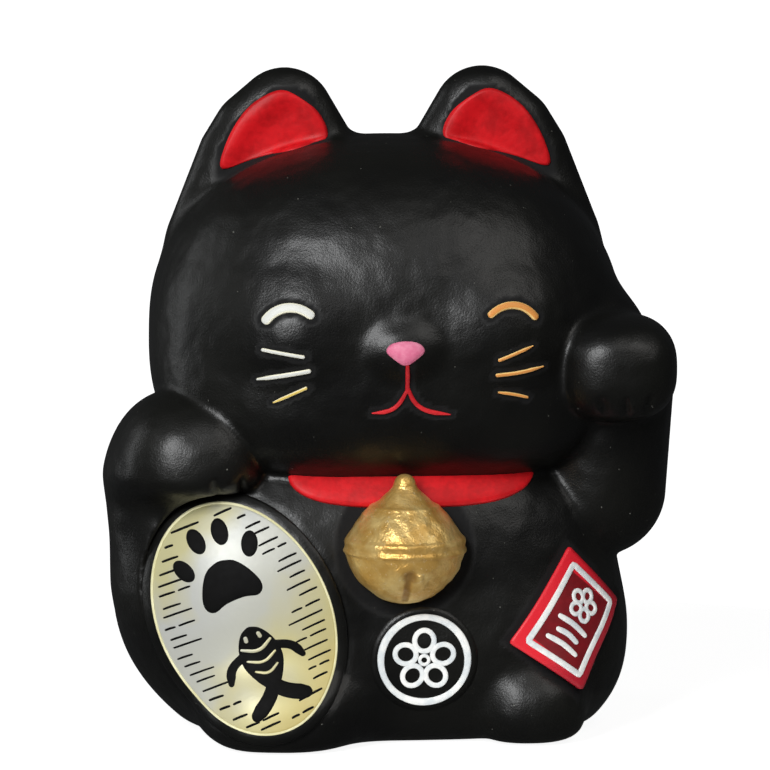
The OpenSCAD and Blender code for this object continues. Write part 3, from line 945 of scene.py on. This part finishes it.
rim_path = coin_line(oval(leaf_short + 0.6, leaf_long + 0.6, 160))
points, faces, uv = bead(rim_path, 1.7, 0.42, COIN_TURN, coin_bed, closed=True, sides=16, lift=0.1, sink=0.6)
coin_rim = make_piece("coin_rim", points, faces, ["koban_rim"], uv=uv)
points, faces, uv = patch(coin_line(oval(leaf_short, leaf_long, 128)), coin_middle,
                          lambda s: 0.56 - 0.06 * s ** 6, COIN_TURN, coin_bed, rings=28, sink=0.3)
coin_face = make_piece("coin_face", points, faces, ["koban"], uv=uv)
edge_path = coin_line(oval(leaf_short - 0.1, leaf_long - 0.1, 160))
points, faces, uv = bead(edge_path, 0.3, 0.12, COIN_TURN, coin_bed, closed=True, sides=8, lift=0.5)
coin_edge = make_piece("coin_bright_edge", points, faces, uv=uv)
print("coin face", round(2 * leaf_long, 1), "by", round(2 * leaf_short, 1), "mm")

# %% Chisel dashes
rng = np.random.default_rng(12)
parts = []
for level in np.arange(-13.8, 14.0, 1.36):
    half = leaf_short * math.sqrt(1 - (level / leaf_long) ** 2) - 1.0
    for side in (-1, 1):
        inner = 4.9 if abs(level) < 12.4 else 0.5
        length = min(rng.uniform(1.8, 4.8), half - inner)
        if length < 0.8:
            continue
        drift = rng.uniform(-0.2, 0.2)
        start = side * (half - rng.uniform(0, 0.5))
        end = start - side * length
        strokes = [(start, end)]
        if rng.uniform() < 0.25 and length > 2.6:
            split = start + (end - start) * rng.uniform(0.4, 0.6)
            strokes = [(start, split + side * 0.3), (split - side * 0.3, end)]
        for a, b in strokes:
            line = coin_line([[a, level + drift], [(a + b) / 2, level + drift + 0.04], [b, level + drift]])
            dash = brush(line, 0.32, (0.8, 0.8), 12)
            parts.append(bead(*dash, 0.1, COIN_TURN, coin_bed, sides=8, lift=0.5))
points, faces, uv = joined(parts)
dashes = make_piece("coin_dashes", points, faces, uv=uv)
print(len(parts), "dashes")

# %% Paw print and fish
def inked(strokes, blots, middle, lift=0.5):
    """Brush strokes (points, width, thinning) and blots (outline, middle) laid on the coin."""
    parts = []
    for line, width, thin in strokes:
        flat = coin_line(np.array(line, float) + middle)
        parts.append(bead(*brush(flat, width, thin, 36), 0.13, COIN_TURN, coin_bed, sides=12, lift=lift))
    for outline, place in blots:
        flat = coin_line(outline + np.array(place) + middle)
        parts.append(patch(flat, coin_line(np.array(place) + middle),
                           lambda s: 0.15 - 0.13 * s ** 6, COIN_TURN, coin_bed, rings=8, lift=lift))
    return joined(parts)


def blot(points):
    """Smooth closed outline through the right half's points and their mirror image."""
    right = np.array(points, float)
    both = np.concatenate([right, (right * [-1, 1])[::-1]])
    return at_lengths(smooth_line(both, closed=True, rounds=3), np.arange(64) / 64, closed=True)


toe = oval(1.15, 1.7, 40)
pad = blot(((0.5, 2.9), (2.4, 2.2), (4.1, -0.6), (4.5, -2.6), (3.4, -3.6), (1.7, -2.9), (0.4, -2.8)))
toes_at = ((-4.6, 2.3, 26), (-1.65, 5.1, 8), (1.65, 5.1, -8), (4.6, 2.3, -26))
paw_blots = [(leaned(toe, lean, 0), (x, z)) for x, z, lean in toes_at] + [(pad, (0, -0.8))]
points, faces, uv = inked((), paw_blots, np.array([0, 6.3]))
coin_paw = make_piece("coin_paw_print", points, faces, uv=uv)
fish = blot(((0.3, 5.6), (1.6, 4.9), (2.8, 2.6), (3.0, 0.0), (1.9, -2.4), (0.7, -3.9), (0.3, -4.2)))
fish_strokes = []
for side in (-1, 1):
    fish_strokes.append((((0, -3.2), (side * 1.3, -4.6), (side * 3.6, -5.8)), 1.9, (0.9, 0.6)))
    fish_strokes.append((((side * 2.4, 1.6), (side * 4.3, 0.7), (side * 5.0, -1.2)), 1.3, (0.9, 0.5)))
scale_rows = ((2.0, 2.6, 1.1, 0.5), (1.9, 0.8, 1.0, 0.42), (1.5, -0.9, 0.9, 0.38))
scale_strokes = [(((-half, level), (0, level - dip), (half, level)), width, (0.7, 0.7))
                 for half, level, dip, width in scale_rows]
scale_strokes += [(((side * 0.95, 3.5), (side * 0.9, 3.9)), 0.55, (1, 1)) for side in (-1, 1)]
fish_middle = np.array([0, -6.2])
points, faces, uv = inked(fish_strokes, [(fish, (0, 0))], fish_middle)
coin_fish = make_piece("coin_fish", points, faces, uv=uv)
points, faces, uv = inked(scale_strokes, (), fish_middle, 0.6)
fish_scales = make_piece("coin_fish_scales", points, faces, uv=uv)
print("coin carries a paw print and a fish")

# %% [markdown]
# ## Medallion
# Under the bell a solid black disc carries a white ring and a plum blossom, both in thick white
# enamel. The disc is a thin patch, and the ring and the petals are beads.

# %% Medallion
def ring_line(middle, radius, count=96):
    """Circle as a closed path."""
    return oval(radius, radius, count) + middle


points, faces, uv = patch(ring_line(medal_middle, medal_r + 0.9), medal_middle,
                          lambda s: 0.10 - 0.08 * s ** 8, rings=10)
medal_ground = make_piece("medallion_ground", points, faces, uv=uv)
uneven = 0.92 + 0.08 * np.sin(3 * 2 * np.pi * np.arange(96) / 96)
points, faces, uv = bead(ring_line(medal_middle, medal_r - 0.45), uneven, 0.22, closed=True,
                         sides=12, lift=0.08)
medal_ring = make_piece("medallion_white_ring", points, faces, ["medallion_ring"], uv=uv)
parts = []
for i in range(5):
    turn = math.radians(90 + 72 * i)
    place = medal_middle + 2.6 * np.array([math.cos(turn), math.sin(turn)])
    petal = leaned(oval(1.4, 1.28, 40), 90 + 72 * i, place)
    parts.append(bead(petal, 0.72, 0.2, closed=True, sides=10, lift=0.08))
parts.append(bead(ring_line(medal_middle, 0.6, 24), 0.5, 0.2, closed=True, sides=8, lift=0.08))
points, faces, uv = joined(parts)
medal_blossom = make_piece("medallion_plum_blossom", points, faces,
                           ["medallion_blossom"], uv=uv)
print("medallion is", round(2 * medal_r, 1), "mm across")

# %% [markdown]
# ## Tag
# A red charm tag lies on the right haunch, turned so that it wraps round the side: a red plate
# with a dark middle, a white frame and a small blossom over three bars.

# %% Tag
def tag_line(points):
    """Shorten each upright towards the far side, then lean the outline and move it to its middle."""
    points = np.asarray(points, float)
    shorter = 1 - TAG_TAPER * points[..., 0] / tag_half[0]
    return leaned(np.stack([points[..., 0], points[..., 1] * shorter], -1), TAG_LEAN, tag_middle)


points, faces, _ = patch(tag_line(soft_square(*tag_half, 0.35, 128)), tag_middle,
                         lambda s: 0.42 - 0.08 * s ** 10, TAG_TURN, tag_bed, rings=16)
uv = 0.5 + 0.5 * on_plane(points, TAG_TURN, TAG_LEAN, tag_middle) / tag_half
tag = make_piece("red_tag", points, faces, ["tag"], uv=uv)
frame_path = tag_line(soft_square(4.1, 5.85, 0.25, 128) + [0.15, 0])
points, faces, uv = bead(frame_path, 0.85, 0.16, TAG_TURN, tag_bed, closed=True, sides=10, lift=0.4)
tag_frame = make_piece("tag_white_frame", points, faces, ["tag_frame"], uv=uv)
parts = []
for i in range(5):
    turn = math.radians(90 + 72 * i)
    place = np.array([0.15, 2.5]) + 1.3 * np.array([math.cos(turn), math.sin(turn)])
    petal = leaned(oval(0.8, 0.72, 28), 90 + 72 * i, place)
    parts.append(bead(tag_line(petal), 0.62, 0.16, TAG_TURN, tag_bed, closed=True, sides=8, lift=0.4))
for level, half in ((-0.7, 2.3), (-2.25, 1.6), (-3.8, 2.3)):
    bar = tag_line([[0.15 - half, level], [0.15, level + 0.3], [0.15 + half, level]])
    stroke = brush(bar, 0.8, (0.8, 0.8), 24)
    parts.append(bead(*stroke, 0.16, TAG_TURN, tag_bed, sides=10, lift=0.4))
points, faces, uv = joined(parts)
tag_motif = make_piece("tag_blossom_and_bars", points, faces, ["tag_blossom"], uv=uv)
print("tag", (2 * tag_half).tolist(), "mm")

# %% [markdown]
# ## A small language for finishes
# Shader maths reads badly as a list of nodes. The Wire class wraps one socket, so that an
# expression such as `1 - mask * 0.5` adds the Math nodes it needs. A Finish is a material being
# built: its node method makes any node, with its settings first and then its inputs.

# %% Finish and Wire
class Finish:
    """A material being built around one Principled shader."""

    def __init__(self, name):
        self.material = bpy.data.materials.new(name)
        self.material.use_nodes = True
        self.tree = self.material.node_tree
        self.shader = self.tree.nodes["Principled BSDF"]
        self.place = self.node("ShaderNodeTexCoord", out="Object")

    def node(self, kind, settings=None, inputs=None, out=0):
        """Add a node: settings, then inputs by name or number, and return one output."""
        made = self.tree.nodes.new(kind)
        for key, value in (settings or {}).items():
            if key == "stops":
                while len(made.color_ramp.elements) < len(value):
                    made.color_ramp.elements.new(0.5)
                for element, (position, colour) in zip(made.color_ramp.elements, value):
                    element.position = position
                    element.color = colour
            else:
                setattr(made, key, value)
        for key, value in (inputs or {}).items():
            self.feed(made.inputs[key], value)
        return Wire(self, made.outputs[out])

    def feed(self, socket, value):
        """Link a Wire, or set a plain value."""
        if isinstance(value, Wire):
            self.tree.links.new(value.socket, socket)
        else:
            socket.default_value = value

    def set(self, **values):
        """Shader sockets by name, with _ for a space."""
        for key, value in values.items():
            self.feed(self.shader.inputs[key.replace("_", " ")], value)
        return self

    def noise(self, scale, detail=2.0, roughness=0.5):
        """Noise value at a scale in cycles per millimetre."""
        inputs = {"Vector": self.place, "Scale": scale / MM, "Detail": detail, "Roughness": roughness}
        return self.node("ShaderNodeTexNoise", {"noise_dimensions": "3D"}, inputs, "Fac")

    def axes(self, vector):
        """A vector's X, Y and Z as three values."""
        x = self.node("ShaderNodeSeparateXYZ", None, {0: vector}, "X")
        return x, Wire(self, x.socket.node.outputs["Y"]), Wire(self, x.socket.node.outputs["Z"])

    def steps(self, value, low, high):
        """Zero below low and one above high, smooth between."""
        return self.node("ShaderNodeMapRange", {"interpolation_type": "SMOOTHSTEP"},
                         {"Value": value, "From Min": low, "From Max": high}, "Result")

    def blend(self, mask, first, second):
        """Colour mix."""
        return self.node("ShaderNodeMix", {"data_type": "RGBA"}, {"Factor": mask, 6: first, 7: second}, 2)

    def bump(self, height, depth, normal=None):
        """Bump from a height in millimetres."""
        inputs = {"Height": height, "Distance": depth * MM, "Strength": 1.0}
        if normal is not None:
            inputs["Normal"] = normal
        return self.node("ShaderNodeBump", None, inputs, "Normal")


class Wire:
    """One output socket that adds Math nodes when it is used in an expression."""

    def __init__(self, finish, socket):
        self.finish = finish
        self.socket = socket

    def math(self, operation, first, second=0.0):
        """A Math node on one or two values."""
        return self.finish.node("ShaderNodeMath", {"operation": operation}, {0: first, 1: second})

    def __add__(self, other):
        return self.math("ADD", self, other)

    def __sub__(self, other):
        return self.math("SUBTRACT", self, other)

    def __rsub__(self, other):
        return self.math("SUBTRACT", other, self)

    def __mul__(self, other):
        return self.math("MULTIPLY", self, other)

    __radd__ = __add__
    __rmul__ = __mul__


def rgb(r, g, b):
    """Screen colour in 0 to 255 as a linear colour with full alpha."""
    def linear(v):
        v /= 255
        return v / 12.92 if v <= 0.04045 else ((v + 0.055) / 1.055) ** 2.4
    return (linear(r), linear(g), linear(b), 1.0)


def coat(pieces, finish):
    """Give a finish to pieces or CAD nodes."""
    for piece in pieces:
        piece.data.materials.clear()
        piece.data.materials.append(finish.material)


# %% [markdown]
# ## Black glaze
# The glaze is satin: it spreads a window's reflection into a broad soft patch, and a fine
# grain in it breaks the patch into sparkle. A few pale specks of dust sit on it. Round each
# ornament the black is deeper and smoother: partly a painted outline, partly painted shade where
# the ornament meets the skin.

# %% Black glaze
def black_glaze():
    """Near-black with warm and cool drifts, fine grain in the bump and rare pale specks."""
    f = Finish("satin black glaze")
    edge = f.node("ShaderNodeAttribute", {"attribute_name": "painted_edge"}, out="Fac")
    drift = f.noise(0.06, 2)
    grain = f.noise(4.0, 2, 0.5)
    pits = f.noise(2.2, 2, 0.6)
    specks = f.steps(f.noise(1.9, 1, 0.4), 0.795, 0.82)
    black = f.blend(f.steps(drift, 0.35, 0.65), rgb(9, 9, 8), rgb(15, 15, 12))
    dusty = f.blend(specks * 0.6, black, rgb(120, 120, 112))
    # Deeper black round the ornaments: partly a painted outline, partly painted shade.
    colour = f.blend(edge, dusty, rgb(1, 1, 2))
    normal = f.bump((grain * 0.6 + pits * 0.4) * (1 - edge * 0.8), 0.055)
    slow = f.bump(f.noise(0.13, 2), 0.7, normal)
    return f.set(Base_Color=colour, Roughness=0.33 + drift * 0.06 + grain * 0.06 + edge * 0.5, Normal=slow,
                 Specular_IOR_Level=0.5)


glaze = black_glaze()
coat([skin, coin_rim, medal_ground], glaze)
ink = Finish("brushed black enamel")
ink.set(Base_Color=ink.blend(ink.noise(0.5), rgb(3, 3, 4), rgb(9, 9, 8)),
        Roughness=0.6 + ink.noise(1.2) * 0.2, Specular_IOR_Level=0.15)
coat([dashes, coin_paw, coin_fish], ink)
print("glaze on the skin, the coin's rim and the medallion's ground; ink on the coin's marks")

# %% [markdown]
# ## Enamels
# The enamels are opaque and laid on thickly with a brush. One recipe serves them all: two near
# shades that drift into each other, faint streaks, a soft sheen and a slightly uneven surface.

# %% Enamels
def enamel(name, dark, light, sheen=0.42, streak=0.35):
    """Two shades mixed by a drift and by finer streaks."""
    f = Finish(name)
    drift = f.noise(0.22, 2)
    streaks = f.noise(1.3, 3)
    mix = f.steps(drift * (1 - streak) + streaks * streak, 0.36, 0.62)
    normal = f.bump(streaks, 0.04)
    return f.set(Base_Color=f.blend(mix, dark, light), Roughness=sheen + streaks * 0.12, Normal=normal,
                 Specular_IOR_Level=0.25)


red = enamel("red enamel", rgb(186, 18, 24), rgb(218, 22, 30))
white = enamel("white enamel", rgb(206, 212, 214), rgb(238, 238, 234))
pink = enamel("pink enamel", rgb(222, 112, 146), rgb(240, 150, 176))
mouth_red = enamel("mouth enamel", rgb(176, 24, 32), rgb(216, 40, 46))
coat(ear_linings + [collar], red)
coat([medal_ring, medal_blossom, tag_frame, tag_motif], white)
coat([nose_piece], pink)
coat([mouth_piece], mouth_red)


def two_tone(name, middle, edge):
    """Enamel that is thicker and paler along both edges of a stroke, by the stroke's own map."""
    f = Finish(name)
    across, _, _ = f.axes(f.node("ShaderNodeTexCoord", out="UV"))
    off = (across - 0.5) * (across - 0.5) * 4
    mask = f.steps(off + f.noise(1.4, 2) * 0.3, 0.45, 0.85)
    return f.set(Base_Color=f.blend(mask, middle, edge), Roughness=0.4 + f.noise(1.6) * 0.15,
                 Normal=f.bump(f.noise(1.8, 3), 0.03))


ivory = two_tone("ivory enamel", rgb(220, 221, 214), rgb(250, 246, 220))
straw = two_tone("straw enamel", rgb(226, 196, 96), rgb(250, 240, 200))
orange = two_tone("orange enamel", rgb(226, 150, 72), rgb(250, 206, 128))
coat([face_pieces[k] for k in ("eye_left", "whisker_left_top", "whisker_left_middle")], ivory)
coat([face_pieces["whisker_left_low"]], straw)
coat([piece for key, piece in face_pieces.items() if "right" in key], orange)
print("red, white, pink, ivory, straw and orange enamels")

# %% [markdown]
# ## Tag lacquer
# The tag is bright red on its border and dark red inside the white frame; painted shade darkens
# the border towards the side that turns away from the light. Its own map runs from corner to corner.

# %% Tag lacquer
def tag_lacquer():
    """Dark middle inside a square mask, red border with painted shade towards the far side."""
    f = Finish("tag lacquer")
    across, up, _ = f.axes(f.node("ShaderNodeTexCoord", out="UV"))
    far_x = across.math("ABSOLUTE", across - 0.5)
    far_y = up.math("ABSOLUTE", up - 0.5)
    inside = 1 - f.steps(far_x.math("MAXIMUM", far_x, far_y), 0.36, 0.375)
    # Painted shade: the border darkens towards the side that turns away from the light.
    painted_far_shade = f.steps(across * 0.6 + f.noise(0.4) * 0.3, 0.25, 0.7)
    border = f.blend(painted_far_shade, rgb(222, 28, 44), rgb(170, 22, 40))
    colour = f.blend(inside, border, f.blend(f.noise(0.7), rgb(92, 6, 14), rgb(138, 12, 24)))
    return f.set(Base_Color=colour, Roughness=0.4 + f.noise(1.1) * 0.1, Normal=f.bump(f.noise(1.3), 0.03))


coat([tag], tag_lacquer())
print("tag lacquered")

# %% [markdown]
# ## Gilding and leaf
# The bell is covered in soft gold with pale flecks at random, and painted shade turns its pressed
# hole and slot brown. The coin's leaf runs from silver at the upper left to gold at the lower right;
# the silver is a painted highlight of the main window.

# %% Gilding and leaf
def gilding():
    """Metal with pale flecks at random and brown painted shade in the pressed hole and slot."""
    f = Finish("gilding")
    pressed = f.node("ShaderNodeAttribute", {"attribute_name": "pressed"}, out="Fac")
    drift = f.steps(f.noise(0.35, 3), 0.35, 0.7)
    fleck = f.steps(f.noise(2.2, 3, 0.7), 0.6, 0.72)
    warm = f.blend(drift, rgb(204, 160, 82), rgb(234, 202, 130))
    pale = f.blend(fleck * 0.6, warm, rgb(250, 236, 196))
    # Painted shade: brown in the pressed hole and slot.
    colour = f.blend(pressed * 0.6, pale, rgb(120, 78, 34))
    rough = 0.24 + f.noise(1.2, 3) * 0.2
    dents = f.bump(f.noise(0.9, 4, 0.6), 0.2)
    grainy = f.bump(f.noise(3.0, 2), 0.05, dents)
    return f.set(Base_Color=colour, Metallic=0.5, Roughness=rough, Normal=grainy)


def leaf():
    """Silver to gold along a slope across the object's coordinates; the silver at the upper left is a painted
    highlight.
    """
    f = Finish("coin leaf")
    across, _, up = f.axes(f.place)
    down_right = (across * 0.9 - up * 0.62) * (1 / MM)
    drift = down_right + (f.noise(0.14, 2) - 0.5) * 14
    # Painted highlight: the leaf turns silver towards the upper left, where the main window would reflect.
    highlight_silver_to_gold = [(0.0, rgb(198, 192, 146)), (0.16, rgb(190, 191, 185)), (0.42, rgb(192, 192, 180)),
                      (0.62, rgb(204, 196, 146)), (0.85, rgb(208, 188, 112)), (1.0, rgb(204, 168, 92))]
    gold = f.node("ShaderNodeValToRGB", {"stops": highlight_silver_to_gold}, {0: (drift + 43) * (1 / 36)}, "Color")
    return f.set(Base_Color=gold, Metallic=0.25, Roughness=0.42 + f.noise(0.9) * 0.12,
                 Normal=f.bump(f.noise(1.4, 3), 0.03))


coat([bell, knob], gilding())
coin_leaf = leaf()
coat([coin_face, fish_scales], coin_leaf)
bright = enamel("bright edge", rgb(212, 206, 158), rgb(228, 224, 184))
coat([coin_edge], bright)
print("gilding on the bell and its knob, leaf on the coin")

# %% [markdown]
# ## Underside
# Underneath, a disc of bare dark clay closes the casting and a rubber stopper fills the vent. Both
# keep their CAD shape and only get a finish.

# %% Clay and rubber
clay = Finish("bare clay")
clay.set(Base_Color=clay.blend(clay.noise(0.4, 3), rgb(38, 35, 33), rgb(58, 54, 50)),
         Roughness=0.8 + clay.noise(2.0) * 0.1, Normal=clay.bump(clay.noise(2.2, 4), 0.08))
rubber = Finish("stopper rubber")
rubber.set(Base_Color=rubber.blend(rubber.noise(0.5), rgb(28, 28, 29), rgb(40, 40, 41)),
           Roughness=0.6 + rubber.noise(1.5) * 0.1, Normal=rubber.bump(rubber.noise(3.0, 2), 0.03))
coat([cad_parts["base_plate"]], clay)
coat([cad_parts["stopper"]], rubber)
print("clay on the floor disc, rubber on the stopper")

# %% [markdown]
# ## Studio
# The figure stands on a round sheet of white paper in front of a white wall, in an otherwise dark
# room. A soft window is at the left front, a weak one high on the right, and a strip at the back
# left draws a line of light down the edge. The paper glows a little so that it stays white. It is
# clear from below, where a small lamp lights the underside, so the stopper can be looked at.

# %% Paper
PAPER_RADIUS, PAPER_DROP = 110, 0.05
outline = oval(PAPER_RADIUS, PAPER_RADIUS)
points = np.column_stack([outline, np.full(len(outline), -PAPER_DROP)])
mesh = bpy.data.meshes.new("paper")
mesh.from_pydata((points * MM).tolist(), [], [list(range(len(points)))])
paper = bpy.data.objects.new("paper", mesh)
bpy.context.collection.objects.link(paper)
paper.visible_glossy = False
white_paper = Finish("white paper")
white_paper.set(Base_Color=(0.4, 0.4, 0.4, 1), Roughness=0.9, Specular_IOR_Level=0.1,
                Emission_Color=(1, 1, 1, 1), Emission_Strength=1.44)
from_below = white_paper.node("ShaderNodeNewGeometry", out="Backfacing")
clear = white_paper.node("ShaderNodeBsdfTransparent")
paper_shader = Wire(white_paper, white_paper.shader.outputs["BSDF"])
one_way = white_paper.node("ShaderNodeMixShader", None, {0: from_below, 1: paper_shader, 2: clear})
white_paper.feed(white_paper.tree.nodes["Material Output"].inputs["Surface"], one_way)
coat([paper], white_paper)
print("paper is", 2 * PAPER_RADIUS, "mm across")

# %% Lights
ROOM_LIGHT = (0.05, 0.052, 0.055, 1)
WALL_BRIGHTNESS = (1.8, 1.8, 1.8, 1)
EXPOSURE = -0.65


def window(name, azimuth, elevation, far, width, tall, power, colour=(1, 1, 1)):
    """Rectangular area light aimed at the middle of the figure."""
    data = bpy.data.lights.new(name, "AREA")
    data.shape = "RECTANGLE"
    data.size, data.size_y = width, tall
    data.energy = power
    data.color = colour
    lamp = bpy.data.objects.new(name, data)
    lamp.location = target + look_from(azimuth, elevation, far)
    lamp.rotation_euler = (target - lamp.location).to_track_quat("-Z", "Y").to_euler()
    bpy.context.collection.objects.link(lamp)
    return lamp


window("main window", -29, 28, 0.6, 0.2, 0.36, 5.2, (0.98, 0.99, 1.0))
window("left strip", -112, 12, 0.5, 0.1, 0.4, 0.5, (0.97, 0.99, 1.0))
window("right fill", 45, 44, 0.8, 0.45, 0.45, 2.0, (1.0, 0.98, 0.95))
window("lamp underneath", -20, -60, 0.5, 0.2, 0.2, 1.5).visible_glossy = False
world = bpy.data.worlds.new("studio")
bpy.context.scene.world = world
world.use_nodes = True
tree = world.node_tree
background = tree.nodes["Background"]
seen = tree.nodes.new("ShaderNodeLightPath")
shade = tree.nodes.new("ShaderNodeMix")
shade.data_type = "RGBA"
shade.inputs[6].default_value = ROOM_LIGHT
shade.inputs[7].default_value = WALL_BRIGHTNESS
tree.links.new(seen.outputs["Is Camera Ray"], shade.inputs[0])
tree.links.new(shade.outputs[2], background.inputs["Color"])
scene = bpy.context.scene
scene.view_settings.view_transform = "Standard"
scene.view_settings.look = "None"
scene.view_settings.exposure = EXPOSURE
print("four lamps, exposure", EXPOSURE)
